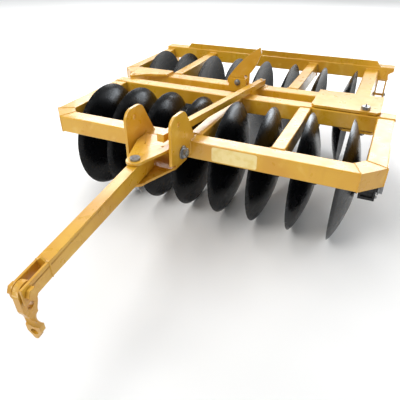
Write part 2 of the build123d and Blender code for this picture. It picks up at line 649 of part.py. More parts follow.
# Drawbar and link, made straight along Y from the drawbar pin and then turned about it
def drawbar():
    """The tapered drawbar with its open nose, its pin, and the nose bolt that carries the link."""
    half = DRAWBAR_WIDTH / 2
    nose_bottom = DRAWBAR_TOP - DRAWBAR_NOSE_HEIGHT
    open_y = -DRAWBAR_LENGTH + NOSE_OPEN_LENGTH
    outline = [(DRAWBAR_TAIL, DRAWBAR_BOTTOM), (DRAWBAR_TAIL, DRAWBAR_TOP), (-DRAWBAR_LENGTH, DRAWBAR_TOP)]
    outline += [(-DRAWBAR_LENGTH, nose_bottom), (open_y, nose_bottom)]
    body = side(outline, (-half, half))
    inner = half - NOSE_CHEEK
    body -= block((-inner, inner), (-DRAWBAR_LENGTH - 1, open_y), (0, 2 * DRAWBAR_TOP))
    far_cheek_front = body.edges().filter_by(Axis.X).group_by(Axis.Y)[0].sort_by(Axis.X)[:2]
    body = fillet(far_cheek_front, NOSE_ROUNDING)
    divider = [(-inner, DRAWBAR_TOP), (inner, DRAWBAR_TOP), (0, DRAWBAR_TOP + NOSE_TIP)]
    body += upright(divider, (open_y, open_y + NOSE_CHEEK))
    pin_hole = DRAWBAR_PIN_DIAMETER + 2 * RUNNING_CLEARANCE
    body -= rod_z(0, 0, (0, 2 * DRAWBAR_TOP), pin_hole)
    bolt_y, bolt_z = nose_bolt_place()
    body -= rod_x((-2 * half, 2 * half), bolt_y, bolt_z, NOSE_BOLT_DIAMETER + 2 * RUNNING_CLEARANCE)
    pin = rod_z(0, 0, (JAW_BOTTOM - DRAWBAR_PIN_TAIL, JAW_TOP + 1), DRAWBAR_PIN_DIAMETER)
    head = (JAW_TOP + SEAT_GAP, JAW_TOP + SEAT_GAP + DRAWBAR_PIN_HEAD_THICKNESS)
    pin += rod_z(0, 0, head, DRAWBAR_PIN_HEAD_DIAMETER)
    bolt = rod_x((-half, half), bolt_y, bolt_z, NOSE_BOLT_DIAMETER)
    bolt += hex_x((half, half + NOSE_HEAD_THICKNESS), bolt_y, bolt_z, NOSE_HEAD_DIAMETER)
    bolt += hex_x((-half - NOSE_HEAD_THICKNESS, -half), bolt_y, bolt_z, NOSE_HEAD_DIAMETER)
    return {"drawbar": body, "drawbar_pin": pin, "nose_bolt": bolt}


def nose_bolt_place():
    """Y and Z of the nose bolt, with Y counted from the drawbar pin."""
    return -DRAWBAR_LENGTH + NOSE_BOLT_INSET, DRAWBAR_TOP - DRAWBAR_NOSE_HEIGHT / 2


def link():
    """A strap bent to a long eye on the nose bolt, twisted a quarter turn into a pointed leaf with a hole."""
    bolt_y, bolt_z = nose_bolt_place()
    half, waist = LINK_EYE_WIDTH / 2, LINK_WAIST_WIDTH / 2
    bolt_hole = NOSE_BOLT_DIAMETER + 2 * RUNNING_CLEARANCE
    slot_drop = LINK_SLOT_LENGTH - bolt_hole
    thick = (-LINK_THICKNESS / 2, LINK_THICKNESS / 2)
    outline = ThreePointArc((-half, 0), (0, half), (half, 0)) + Line((half, 0), (half, -LINK_SHOULDER_DROP))
    outline += Spline(
        (half, -LINK_SHOULDER_DROP), (waist, -LINK_WAIST_DROP), tangents=((0, -1), (0, -1))
    )
    outline += Line((waist, -LINK_WAIST_DROP), (-waist, -LINK_WAIST_DROP))
    outline += Spline(
        (-waist, -LINK_WAIST_DROP), (-half, -LINK_SHOULDER_DROP), tangents=((0, 1), (0, 1))
    )
    outline += Line((-half, -LINK_SHOULDER_DROP), (-half, 0))
    eye = extrude(Plane.YZ.offset(thick[0]) * make_face(outline), amount=LINK_THICKNESS, dir=(1, 0, 0))
    eye -= rod_x((2 * thick[0], 2 * thick[1]), 0, 0, bolt_hole)
    eye -= rod_x((2 * thick[0], 2 * thick[1]), 0, -slot_drop, bolt_hole)
    eye -= block((2 * thick[0], 2 * thick[1]), (-bolt_hole / 2, bolt_hole / 2), (-slot_drop, 0))
    sections = []
    for step in range(LINK_TWIST_STEPS):
        share = step / (LINK_TWIST_STEPS - 1)
        width = LINK_WAIST_WIDTH + share * (LINK_LEAF_WIDTH - LINK_WAIST_WIDTH)
        height = -LINK_WAIST_DROP - share * LINK_TWIST_LENGTH
        sections.append(Pos(0, 0, height) * Rot(0, 0, 90 * share) * Rectangle(LINK_THICKNESS, width))
    twist = loft(sections, ruled=True)
    leaf_top, leaf = -LINK_WAIST_DROP - LINK_TWIST_LENGTH, LINK_LEAF_WIDTH / 2
    tip_z = LINK_TIP_RADIUS - LINK_TIP_DROP
    outline = Polyline((-leaf, -LINK_HOLE_DROP), (-leaf, leaf_top), (leaf, leaf_top), (leaf, -LINK_HOLE_DROP))
    outline += Line((leaf, -LINK_HOLE_DROP), (LINK_TIP_RADIUS, tip_z))
    outline += ThreePointArc((LINK_TIP_RADIUS, tip_z), (0, -LINK_TIP_DROP), (-LINK_TIP_RADIUS, tip_z))
    outline += Line((-LINK_TIP_RADIUS, tip_z), (-leaf, -LINK_HOLE_DROP))
    tail = extrude(Plane.XZ.offset(-thick[0]) * make_face(outline), amount=LINK_THICKNESS, dir=(0, 1, 0))
    tail -= rod_y(0, (2 * thick[0], 2 * thick[1]), -LINK_HOLE_DROP, LINK_HOLE_DIAMETER)
    return {"hitch_link": Pos(0, bolt_y, bolt_z) * (eye + twist + tail)}


# Brace bar, its guide and its lug
def brace():
    """The bar from the right tall plate's guide back to its upright pin on the rear frame."""
    length = (BRACE_REAR_Y - BRACE_FRONT_Y) / cos(radians(BRACE_HEADING)) / cos(radians(BRACE_SLOPE))
    half = BRACE_SIDE / 2
    bar = block((-half, half), (-length, BRACE_TAIL), (-half, half))
    bar = Pos(BRACE_REAR_X, BRACE_REAR_Y, BRACE_REAR_Z) * Rot(0, 0, -BRACE_HEADING) * Rot(-BRACE_SLOPE, 0, 0) * bar
    hole = BRACE_PIN_DIAMETER + 2 * RUNNING_CLEARANCE
    bar -= rod_z(BRACE_REAR_X, BRACE_REAR_Y, (0, 2 * FRAME_TOP), hole)
    pad = BRACE_PAD_WIDTH / 2
    y = (REAR_FORE + BEAM_ROUNDING, REAR_FORE + BEAM - BEAM_ROUNDING)
    lug = block((BRACE_REAR_X - pad, BRACE_REAR_X + pad), y, (FRAME_TOP, FRAME_TOP + BRACE_PAD))
    lug += rod_z(BRACE_REAR_X, BRACE_REAR_Y, (FRAME_TOP, FRAME_TOP + BRACE_PIN_HEIGHT), BRACE_PIN_DIAMETER)
    gap = half + BRACE_GUIDE_GAP
    y = (BRACE_GUIDE_Y - BRACE_GUIDE_WIDTH / 2, BRACE_GUIDE_Y + BRACE_GUIDE_WIDTH / 2)
    arm_low = BRACE_GUIDE_Z + half + BRACE_GUIDE_HEADROOM
    arm_high = arm_low + BRACE_GUIDE_PLATE
    left = (BRACE_X - gap - BRACE_GUIDE_PLATE, BRACE_X - gap)
    rest = BRACE_GUIDE_Z - half - BRACE_GUIDE_GAP
    across = (left[0], HITCH_X + HITCH_INNER)
    guide = block(across, (0, y[1]), (FRAME_TOP, rest))
    guide += block(left, y, (rest, arm_high))
    guide += block(across, y, (arm_low, arm_high))
    return {"brace_bar": bar, "brace_lug": lug, "brace_guide": guide}


# Latch
def latch():
    """A housing on the rear frame's fore beam with the tall curved lever between its cheeks."""
    left, fore, aft = LATCH_LEFT, REAR_FORE, REAR_FORE + LATCH_DEPTH
    x = (left + LATCH_CHEEK_INSET, left + LATCH_CHEEK_INSET + LATCH_CHEEK_LENGTH)
    high = FRAME_TOP + LATCH_HEIGHT
    housing = block(x, (fore - LATCH_CHEEK, fore), (FRAME_TOP - LATCH_SKIRT, high))
    housing += block(x, (fore - LATCH_CHEEK, aft), (FRAME_TOP, FRAME_TOP + LATCH_BASE))
    housing += block(x, (aft - LATCH_CHEEK, aft), (FRAME_TOP, high))
    corners = housing.edges().filter_by(Axis.Y).group_by(Axis.Z)[-1]
    housing = fillet(corners, LATCH_CHEEK_ROUNDING)
    bolt_x, bolt_z = left + LATCH_BOLT_X, FRAME_TOP + LATCH_BOLT_Z
    ends = (fore - 2 * LATCH_CHEEK, aft + LATCH_CHEEK)
    housing += rod_y(bolt_x, ends, bolt_z, LATCH_BOLT_DIAMETER)
    middle = (fore - LATCH_CHEEK + aft) / 2
    thick = (middle - LATCH_LEVER_THICKNESS / 2, middle + LATCH_LEVER_THICKNESS / 2)
    lever = extrude(
        Plane.XZ.offset(-thick[0]) * lever_face(), amount=LATCH_LEVER_THICKNESS, dir=(0, 1, 0)
    )
    lever = Pos(left, 0, FRAME_TOP) * lever
    hole = LATCH_BOLT_DIAMETER + 2 * RUNNING_CLEARANCE
    lever -= rod_y(bolt_x, (fore - LATCH_CHEEK, aft), bolt_z, hole)
    lever -= rod_y(left + LEVER_HOLE_X, (fore - LATCH_CHEEK, aft), FRAME_TOP + LEVER_HOLE_Z, LEVER_HOLE_DIAMETER)
    return {"latch_housing": housing, "latch_lever": lever}


def lever_face():
    """The lever's outline of X and Z, from the latch's left end and the beam's top."""
    low = LATCH_BASE + SEAT_GAP
    tip = (LEVER_TIP_X, LEVER_TIP_Z)
    tip_right = (LEVER_TIP_X + LEVER_TIP_LEAN, LEVER_TIP_Z - LEVER_TIP_WIDTH)
    left_arc = SagittaArc((0, LEVER_HEEL), tip, LEVER_LEFT_SAG)
    right_arc = SagittaArc(tip_right, (LEVER_BASE_WIDTH, LEVER_SHOULDER), LEVER_RIGHT_BULGE)
    edges = Polyline((LEVER_BASE_WIDTH, LEVER_SHOULDER), (LEVER_BASE_WIDTH, low), (0, low), (0, LEVER_HEEL))
    return make_face(edges + left_arc + Line(tip, tip_right) + right_arc)


# The whole machine
def machine():
    """Every piece by its node's name, in the frame in which the pieces are made."""
    pieces = {}
    front_ends, rear_ends = (-FRAME_LENGTH, 0), (REAR_LEFT, REAR_RIGHT)
    pieces.update(frame("front", front_ends, 0, FRAME_DEPTH, 1, BEAM, (("right", 2), ("left", 4))))
    pieces["front_aft_beam"] = front_aft_beam()
    pieces.update(
        frame("rear", rear_ends, REAR_FORE, REAR_FRAME_DEPTH, -1, REAR_LEFT_BEAM_WIDTH, (("right", 2), ("left", 6)))
    )
    pieces.update(rear_extras())
    pieces.update(hinge())
    pieces.update(hitch())
    pieces.update(jaw())
    turned = Pos(HITCH_X, DRAWBAR_PIN_Y, 0) * Rot(0, 0, DRAWBAR_YAW)
    for name, piece in {**drawbar(), **link()}.items():
        pieces[name] = turned * piece
    pieces.update(brace())
    pieces.update(latch())
    pieces.update(carriers("front", 0, AXLE_Y))
    pieces.update(carriers("rear", REAR_RIGHT, REAR_FORE + AXLE_Y))
    pieces.update(gang("front", 0, AXLE_Y, 1))
    pieces.update(gang("rear", REAR_RIGHT, REAR_FORE + AXLE_Y, -1))
    return pieces


def middle_below(pieces):
    """The point on the ground under the middle of the whole machine."""
    boxes = [piece.bounding_box() for piece in pieces.values()]
    low_x, high_x = min(box.min.X for box in boxes), max(box.max.X for box in boxes)
    low_y, high_y = min(box.min.Y for box in boxes), max(box.max.Y for box in boxes)
    return (low_x + high_x) / 2, (low_y + high_y) / 2


PIECES = machine()
ORIGIN_X, ORIGIN_Y = middle_below(PIECES)
os.makedirs("parts", exist_ok=True)
for node, shape in PIECES.items():
    export_step(Pos(-ORIGIN_X, -ORIGIN_Y, 0) * shape, f"parts/{node}.step")
print(len(PIECES), "nodes, origin at", round(ORIGIN_X, 3), round(ORIGIN_Y, 3))
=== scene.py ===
import json
from math import cos, pi, radians, sin, sqrt

import bmesh
import bpy
from mathutils import Matrix, Vector
from mathutils.noise import noise as smooth_noise


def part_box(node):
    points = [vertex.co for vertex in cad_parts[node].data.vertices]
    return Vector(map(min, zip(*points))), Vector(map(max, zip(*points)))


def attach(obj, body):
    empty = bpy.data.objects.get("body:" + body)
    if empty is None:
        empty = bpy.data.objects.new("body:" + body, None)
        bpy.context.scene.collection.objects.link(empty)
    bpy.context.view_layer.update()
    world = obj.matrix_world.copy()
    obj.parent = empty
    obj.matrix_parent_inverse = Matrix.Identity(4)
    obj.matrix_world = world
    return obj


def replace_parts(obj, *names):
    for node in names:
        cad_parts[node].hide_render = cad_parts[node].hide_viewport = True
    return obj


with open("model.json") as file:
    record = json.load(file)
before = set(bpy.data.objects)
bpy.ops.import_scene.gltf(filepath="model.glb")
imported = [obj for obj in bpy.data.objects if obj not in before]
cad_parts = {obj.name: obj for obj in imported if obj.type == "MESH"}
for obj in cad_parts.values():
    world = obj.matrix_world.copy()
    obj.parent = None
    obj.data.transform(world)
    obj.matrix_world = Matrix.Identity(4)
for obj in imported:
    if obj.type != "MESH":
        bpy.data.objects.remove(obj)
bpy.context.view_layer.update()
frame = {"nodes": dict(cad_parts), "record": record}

# A trailed offset disc harrow. Lengths are metres and angles radians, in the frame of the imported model.
NODES = frame["nodes"]

# Camera, placed from the front frame's right side, its fore face and the ground; its sensor is in millimetres
CAMERA_OFFSET = (-0.1051, -1.719, 1.5453)
CAMERA_YAW = -0.4406
CAMERA_PITCH = 0.5869
CAMERA_ROLL = -0.011
CAMERA_REACH = 200
PHOTO_WIDTH = 400
FOCAL_PIXELS = 397.6
SENSOR = 36.0

# Discs, as far as the frame doesn't give their sizes
DISC_COUNT = 8
DISC_DISH = 0.090
DISC_THICKNESS = 0.006
DISC_SEAT = 0.065
DISC_HOLE = 0.024
DISC_BEVEL = 0.016
DISC_EDGE = 0.0015
DISC_SIDES = 144
DISC_RINGS = 14

# Weld beads: their radii in corners and on flat seams, and how they ripple
FILLET = 0.0055
FLUSH = 0.0032
BEAD_STEP = 0.0052
BEAD_SIDES = 6
BEAD_LEAST_STEPS = 3
BEAD_RIPPLE = 0.09
BEAD_JITTER = 0.22
BEAD_JITTER_SCALE = 55
BEAD_END = 0.6
RING_BEAD_STRIDE = 3
CAP_INSET = 0.012
PLATE_WELD_INSET = 0.01
RAIL_STITCHES = 9
RAIL_STITCH = 0.06

# Bolt heads: sizes across corners, sides, height as a share of that size, and shares that shape the top
SMALL_HEAD = 0.0208
BEARING_HEAD = 0.0165
HEAD_SIDES = 6
HEAD_SHARE = 0.42
HEAD_CORNER_RISE = 0.80
HEAD_FLAT_RISE = 0.94
HEAD_FACE = 0.80

# Washers under bolt heads: their thickness, then their radius as a share of the head, and shares of both
WASHER_THICKNESS = 0.0025
WASHER_SHARE = 0.62
WASHER_EDGE_RISE = 0.8
WASHER_FACE = 0.97
WASHER_MIDDLE = 0.3

# Plain washers
WASHER_SUNK = 0.001
WASHER_BREAK = 0.0005
ROUND_SIDES = 28

# Heights and radii of a grease nipple and of the ends of bolts and pins
NIPPLE = (
    (-0.002, 0.0055), (0.005, 0.0055), (0.0055, 0.0036), (0.010, 0.0034),
    (0.011, 0.0042), (0.0145, 0.0034), (0.0155, 0.0014),
)
NIPPLE_SIDES = 16
PIVOT_BOLT_END = ((-0.002, 0.0145), (0.003, 0.012), (0.005, 0.006))
STAY_PIN_END = ((0, 0.010), (0.011, 0.010), (0.013, 0.008))
GANG_BOLT_END = ((0, 0.017), (0.0105, 0.017), (0.0118, 0.0155))
GANG_BOLT_SIDES = 24

# Split pins: two sizes, then for a pin of size 1 its wire, its eye and the points of a leg, along and out
SMALL_COTTER = 0.012
LARGE_COTTER = 0.016
COTTER_WIRE = 0.16
COTTER_EYE = 0.55
COTTER_EYE_SETBACK = 1.9
COTTER_EYE_STEPS = 16
COTTER_LEG = ((-1.3, COTTER_WIRE), (1.1, COTTER_WIRE), (1.5, 0.5), (1.35, 1.1))

# Nuts of the gang bolts, with places counted inwards from a nut's outer face
GANG_END_INSET = 0.012
GANG_WASHER_INSET = 0.0195
GANG_WASHER_RADIUS = 0.036
GANG_WASHER_THICKNESS = 0.0015
GANG_WASHER_SIDES = 32
TAB_TURN = 0.35
TAB_OUT = 0.031
TAB_LENGTH = 0.012
TAB_THICKNESS = 0.0028

# Places on the pieces, where the frame's boxes don't give them
BEAM = 0.1
REAR_LEFT_BEAM = 0.075
PIVOT_TO_HEEL = 0.048
JAW_PLATE = 0.014
JAW_WEB = 0.012
JAW_TUBE_OVERHANG = 0.004
JAW_WEB_FORE = 0.035
JAW_WELD_END = 0.03
JAW_NIPPLE_X = 0.055
PIVOT_TUBE = 0.026
DRAWBAR_YAW = radians(7)
DRAWBAR_HALF = 0.027
DRAWBAR_OPEN = 0.727
DRAWBAR_TAIL = 0.150
NOSE_TIP = 0.016
NOSE_HEIGHT = 0.068
NOSE_WELD_SETBACK = 0.006
BELLY_WELD_START = 0.10
BELLY_WELD_SETBACK = 0.02
DRAWBAR_COTTER_RISE = 0.012
DRAWBAR_COTTER_AXIS = (0.9, -0.4, 0)
LATCH_DEPTH = 0.060
LATCH_BOLT_RISE = 0.030
LATCH_BOLT_INSET = 0.065
LATCH_WASHER_INSET = 0.012
LATCH_WASHER_RADIUS = 0.022
LATCH_WASHER_THICKNESS = 0.003
LATCH_NUT_INSET = 0.009
LATCH_NUT = 0.036
LATCH_NUT_HEIGHT = 0.013
BRACE_PIN_INSET = 0.050
BRACE_COTTER_DROP = 0.006
STAY_WASHER_RADIUS = 0.019
STAY_WASHER_THICKNESS = 0.0025
STAY_COTTER_OUT = 0.0075
HANGER_PLATE = 0.012
FLANGE_BOLT_INSETS = (0.018, 0.046)
FOOT_BOLT_SPREAD = 0.021
BEARING_BOLT_SPREAD = 0.040
BEARING_NIPPLE_FORE = 0.033
BEARING_NIPPLE_RISE = 0.0325
STICKER_LEFT = 0.846
STICKER_RIGHT = 0.598
STICKER_LOW = 0.549
STICKER_HIGH = 0.631
STICKER_CORNER = 0.012
STICKER_CORNER_STEPS = 6
STICKER_THICKNESS = 0.0004

# Edges of the pieces: their rounding, and the turn past which a shaded edge is sharp
EDGE_ROUNDING = 0.0015
EDGE_SEGMENTS = 2
EDGE_ANGLE = radians(35)
MERGE_DISTANCE = 0.00002
SHARP_ANGLE = radians(38)

# Chips of paint: how far from an edge they reach, and the cosines of the turns where they start and are full
CHIP_WIDTH = 0.003
CHIP_SAMPLES = 4
CHIP_FLAT = 0.98
CHIP_SHARP = 0.86

# A disc's paint: radians of the rings' wave for each metre of radius, and the lighter grey band inside the
# rim, partly scouring wear and partly a painted highlight of the rim's edge
RING_PHASE = 700.0
SCOUR_AND_HIGHLIGHT_START = 0.022
SCOUR_AND_HIGHLIGHT_END = 0.004

# Colours as the photograph shows them, red, green and blue up to 255
YELLOW = (215, 164, 42)
YELLOW_DEEP = (203, 147, 34)
YELLOW_PALE = (222, 177, 72)
PRIMER = (122, 84, 46)
BLACK = (9, 10, 12)
BLACK_DUSTY = (24, 25, 27)
# Lighter grey of the disc rims: partly worn paint, partly a painted highlight of the rim's edge
RIM_WEAR_AND_HIGHLIGHT = (58, 59, 61)
BLACK_SATIN = (28, 28, 29)
CAST = (46, 46, 48)
STEEL = (158, 160, 162)
STEEL_DARK = (96, 97, 99)
STICKER = (238, 217, 150)
STICKER_AGED = (229, 203, 122)
FLOOR = (244, 244, 243)
FLOOR_LIGHT = (247, 247, 247)

# Floor, room and lights
FLOOR_HALF = 40
FLOOR_DROP = 0.0005
ROOM_COLOUR = (0.94, 0.97, 1.0, 1.0)
ROOM_STRENGTH = 0.56
SUN_TOWARDS = (0.42, 0.68, -0.80)
SUN_STRENGTH = 1.15
SUN_SPREAD = radians(24)
SUN_COLOUR = (1.0, 0.98, 0.94)
# Columns: name, place, target, width and height, watts, colour
AREA_LIGHTS = (
    ("back", (-1.8, 7.5, 5.0), (0, 0, 0.6), (11, 3), 700, (1, 1, 1)),
    ("overhead", (-1.0, -0.5, 4.2), (0, 0, 0.4), (3.2, 1.2), 60, (1, 1, 1)),
    ("low", (4.3, 7.4, 1.3), (-0.3, 0, 0.6), (3.6, 1.5), 230, (0.86, 0.93, 1.0)),
)


# Materials
def linear(colour):
    """A colour of up to 255 in the shader's linear units, by the usual screen curve."""
    values = []
    for part in colour:
        share = part / 255
        values.append(share / 12.92 if share <= 0.04045 else ((share + 0.055) / 1.055) ** 2.4)
    return (*values, 1.0)


class Finish:
    """One material, with short calls for the nodes that a finish is made of."""

    # The mix node's colour sockets go by number, because sockets of other kinds have the same names
    FIRST_COLOUR = 6
    SECOND_COLOUR = 7
    MIXED_COLOUR = 2

    def __init__(self, name, **fixed):
        self.material = bpy.data.materials.new(name)
        self.material.use_nodes = True
        self.tree = self.material.node_tree
        self.shader = self.tree.nodes["Principled BSDF"]
        self.place = self.new("ShaderNodeTexCoord").outputs["Object"]
        for socket, value in fixed.items():
            self.shader.inputs[socket.replace("_", " ")].default_value = value

    def new(self, kind, **settings):
        """A node of a kind, with its settings."""
        node = self.tree.nodes.new(kind)
        for key, value in settings.items():
            setattr(node, key, value)
        return node

    def join(self, source, target):
        """A link from an output to an input."""
        self.tree.links.new(source, target)

    def noise(self, scale, detail, stretch=None, distortion=0.0):
        """Noise by the place on the object."""
        node = self.new("ShaderNodeTexNoise")
        node.inputs["Scale"].default_value = scale
        node.inputs["Detail"].default_value = detail
        node.inputs["Distortion"].default_value = distortion
        self.join(self.stretched(stretch) if stretch else self.place, node.inputs["Vector"])
        return node.outputs["Fac"]

    def stretched(self, scale, move=(0, 0, 0)):
        """The place on the object, scaled and moved."""
        node = self.new("ShaderNodeMapping")
        node.inputs["Scale"].default_value = scale
        node.inputs["Location"].default_value = move
        self.join(self.place, node.inputs["Vector"])
        return node.outputs["Vector"]

    def span(self, value, low, high, out_low=0.0, out_high=1.0):
        """The stretch of a value from low to high, spread softly from out_low to out_high."""
        node = self.new("ShaderNodeMapRange", interpolation_type="SMOOTHSTEP")
        sockets = ("From Min", "From Max", "To Min", "To Max")
        for socket, number in zip(sockets, (low, high, out_low, out_high)):
            node.inputs[socket].default_value = number
        self.join(value, node.inputs["Value"])
        return node.outputs["Result"]

    def patches(self, scale, detail, low, high, out=(0.0, 1.0), **settings):
        """Noise whose stretch from low to high is spread softly between the two ends of out."""
        return self.span(self.noise(scale, detail, **settings), low, high, *out)

    def maths(self, kind, first, second):
        """A sum, product or other operation on two values or numbers."""
        node = self.new("ShaderNodeMath", operation=kind)
        for socket, value in zip(node.inputs, (first, second)):
            if isinstance(value, (int, float)):
                socket.default_value = value
            else:
                self.join(value, socket)
        return node.outputs["Value"]

    def mix(self, factor, first, second):
        """A blend of two colours, each a colour up to 255 or an output."""
        node = self.new("ShaderNodeMix", data_type="RGBA")
        self.join(factor, node.inputs["Factor"])
        for place, value in ((self.FIRST_COLOUR, first), (self.SECOND_COLOUR, second)):
            if isinstance(value, tuple):
                node.inputs[place].default_value = linear(value)
            else:
                self.join(value, node.inputs[place])
        return node.outputs[self.MIXED_COLOUR]

    def edges(self):
        """Up to 1 on edges that stand out, 0 on flat faces."""
        bevel = self.new("ShaderNodeBevel", samples=CHIP_SAMPLES)
        bevel.inputs["Radius"].default_value = CHIP_WIDTH
        geometry = self.new("ShaderNodeNewGeometry")
        dot = self.new("ShaderNodeVectorMath", operation="DOT_PRODUCT")
        self.join(bevel.outputs["Normal"], dot.inputs[0])
        self.join(geometry.outputs["Normal"], dot.inputs[1])
        return self.span(dot.outputs["Value"], CHIP_FLAT, CHIP_SHARP)

    def bump(self, height, distance, before=None):
        """A relief as deep as the distance, over an earlier one where there is one."""
        node = self.new("ShaderNodeBump")
        node.inputs["Strength"].default_value = 1.0
        node.inputs["Distance"].default_value = distance
        self.join(height, node.inputs["Height"])
        if before is not None:
            self.join(before, node.inputs["Normal"])
        return node.outputs["Normal"]

    def finish(self, colour, roughness, normal):
        """The material, with these three joined to its shader."""
        self.join(colour, self.shader.inputs["Base Color"])
        self.join(roughness, self.shader.inputs["Roughness"])
        self.join(normal, self.shader.inputs["Normal"])
        return self.material


def yellow_paint():
    """Glossy mustard paint with soft colour drift, dusty patches and worn edges."""
    paint = Finish("yellow_paint", Coat_Weight=0.35, Coat_Roughness=0.12, IOR=1.5)
    drift = paint.mix(paint.patches(scale=3.2, detail=3, low=0.35, high=0.65), YELLOW, YELLOW_DEEP)
    dust = paint.patches(scale=11, detail=6, low=0.52, high=0.78, distortion=0.6)
    patch = paint.mix(dust, drift, YELLOW_PALE)
    runs = paint.patches(scale=26, detail=5, low=0.56, high=0.80, out=(0.0, 0.5), stretch=(1, 1, 0.16))
    streaked = paint.mix(runs, patch, YELLOW_DEEP)
    flakes = paint.patches(scale=70, detail=5, low=0.50, high=0.60)
    chips = paint.maths("MULTIPLY", paint.edges(), flakes)
    specks = paint.patches(scale=210, detail=2, low=0.74, high=0.79, out=(0.0, 0.7))
    worn = paint.mix(paint.maths("MAXIMUM", chips, specks), streaked, PRIMER)
    roughness = paint.patches(scale=17, detail=6, low=0.3, high=0.75, out=(0.26, 0.44))
    peel = paint.bump(paint.noise(scale=420, detail=2), distance=0.00012)
    waves = paint.bump(paint.noise(scale=9, detail=2), distance=0.0012, before=peel)
    return paint.finish(worn, roughness, waves)


def black_gloss(name, axle):
    """Glossy black disc paint with faint rings round the axle, a little dust, and a lighter grey band at the
    rim that is partly scoured paint and partly a painted highlight of the rim's edge.
    """
    paint = Finish(name, IOR=1.45, Specular_IOR_Level=0.24)
    turned = paint.stretched((0, 1, 1), (0, -axle.y, -axle.z))
    length = paint.new("ShaderNodeVectorMath", operation="LENGTH")
    paint.join(turned, length.inputs[0])
    radius = length.outputs["Value"]
    rings = paint.maths("SINE", paint.maths("MULTIPLY", radius, RING_PHASE), 0.0)
    dust = paint.patches(scale=9, detail=7, low=0.5, high=0.9, out=(0.0, 0.55), distortion=0.8)
    dusty = paint.mix(dust, BLACK, BLACK_DUSTY)
    # The discs stand on the ground, so the axle's height is their radius
    near_rim = paint.span(radius, axle.z - SCOUR_AND_HIGHLIGHT_START, axle.z - SCOUR_AND_HIGHLIGHT_END)
    # Patchy lighter grey in a band inside the rim: partly scouring wear, partly a painted highlight of the
    # rim's edge
    scratches_and_highlight = paint.patches(scale=40, detail=5, low=0.42, high=0.70, out=(0.0, 0.5))
    worn = paint.mix(paint.maths("MULTIPLY", near_rim, scratches_and_highlight), dusty, RIM_WEAR_AND_HIGHLIGHT)
    roughness = paint.patches(scale=12, detail=5, low=0.3, high=0.75, out=(0.24, 0.33))
    fine = paint.bump(paint.noise(scale=300, detail=2), distance=0.00004)
    rolled = paint.bump(rings, distance=0.00005, before=fine)
    return paint.finish(worn, roughness, rolled)


def black_satin():
    """Satin black paint of the hangers and bearing housings."""
    paint = Finish("black_satin", Coat_Weight=0.05, IOR=1.45)
    dust = paint.patches(scale=19, detail=6, low=0.4, high=0.8, out=(0.0, 0.8))
    flakes = paint.patches(scale=60, detail=5, low=0.48, high=0.6)
    chips = paint.maths("MULTIPLY", paint.edges(), flakes)
    worn = paint.mix(chips, paint.mix(dust, BLACK_SATIN, BLACK_DUSTY), STEEL_DARK)
    roughness = paint.patches(scale=30, detail=5, low=0.3, high=0.7, out=(0.38, 0.6))
    return paint.finish(worn, roughness, paint.bump(paint.noise(scale=300, detail=3), distance=0.0002))


def cast_iron():
    """Painted cast iron with a sand-grain skin."""
    paint = Finish("cast_iron", Metallic=0.2, IOR=1.5)
    colour = paint.mix(paint.patches(scale=24, detail=6, low=0.35, high=0.75), CAST, BLACK_SATIN)
    roughness = paint.patches(scale=40, detail=4, low=0.3, high=0.7, out=(0.5, 0.7))
    return paint.finish(colour, roughness, paint.bump(paint.noise(scale=260, detail=3), distance=0.0005))


def plated_steel():
    """Zinc-plated bolts, nuts and washers with dull stains."""
    metal = Finish("plated_steel", Metallic=0.85)
    colour = metal.mix(metal.patches(scale=60, detail=6, low=0.4, high=0.75), STEEL, STEEL_DARK)
    roughness = metal.patches(scale=90, detail=4, low=0.3, high=0.7, out=(0.28, 0.5))
    return metal.finish(colour, roughness, metal.bump(metal.noise(scale=500, detail=2), distance=0.0001))


def painted_bead():
    """The frame's paint over weld beads, a little duller, with spots of primer."""
    paint = Finish("painted_bead", Coat_Weight=0.25, Coat_Roughness=0.2, IOR=1.5)
    colour = paint.mix(paint.patches(scale=45, detail=5, low=0.35, high=0.7), YELLOW, YELLOW_DEEP)
    spots = paint.patches(scale=130, detail=4, low=0.66, high=0.78, out=(0.0, 0.6))
    roughness = paint.patches(scale=60, detail=4, low=0.3, high=0.7, out=(0.32, 0.5))
    relief = paint.bump(paint.noise(scale=380, detail=3), distance=0.0004)
    return paint.finish(paint.mix(spots, colour, PRIMER), roughness, relief)


def sticker_film():
    """A blank cream plastic label, a little yellowed and scuffed."""
    film = Finish("cream_film", Coat_Weight=0.3, Coat_Roughness=0.15)
    colour = film.mix(film.patches(scale=30, detail=5, low=0.4, high=0.75), STICKER, STICKER_AGED)
    roughness = film.patches(scale=80, detail=4, low=0.3, high=0.7, out=(0.3, 0.5))
    return film.finish(colour, roughness, film.bump(film.noise(scale=24, detail=3), distance=0.0004))


def floor_finish():
    """A plain pale studio floor."""
    matt = Finish("pale_floor")
    colour = matt.mix(matt.patches(scale=0.8, detail=2, low=0.3, high=0.7), FLOOR, FLOOR_LIGHT)
    roughness = matt.patches(scale=3, detail=2, low=0.3, high=0.7, out=(0.85, 0.95))
    return matt.finish(colour, roughness, matt.bump(matt.noise(scale=40, detail=2), distance=0.0001))


def middle(node):
    """The middle of a node's box."""
    low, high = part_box(node)
    return (low + high) / 2


FINISHES = {
    "yellow_frame": yellow_paint(),
    "black_hanger": black_satin(),
    "cast_spool": cast_iron(),
    "steel_bolt": plated_steel(),
}
DISC_FINISHES = {node: black_gloss(node + "_black", middle(node)) for node in ("front_discs", "rear_discs")}
BEAD_FINISH = painted_bead()
SLOTS = {row["node"]: row["material_slot"] for row in frame["record"]["subparts"]}
PAINTED_OVER = {"nose_bolt": "yellow_frame"}


# Small pieces
def axes(axis):
    """A unit vector along the axis and two across it."""
    ahead = Vector(axis).normalized()
    across = ahead.orthogonal().normalized()
    return ahead, across, ahead.cross(across)


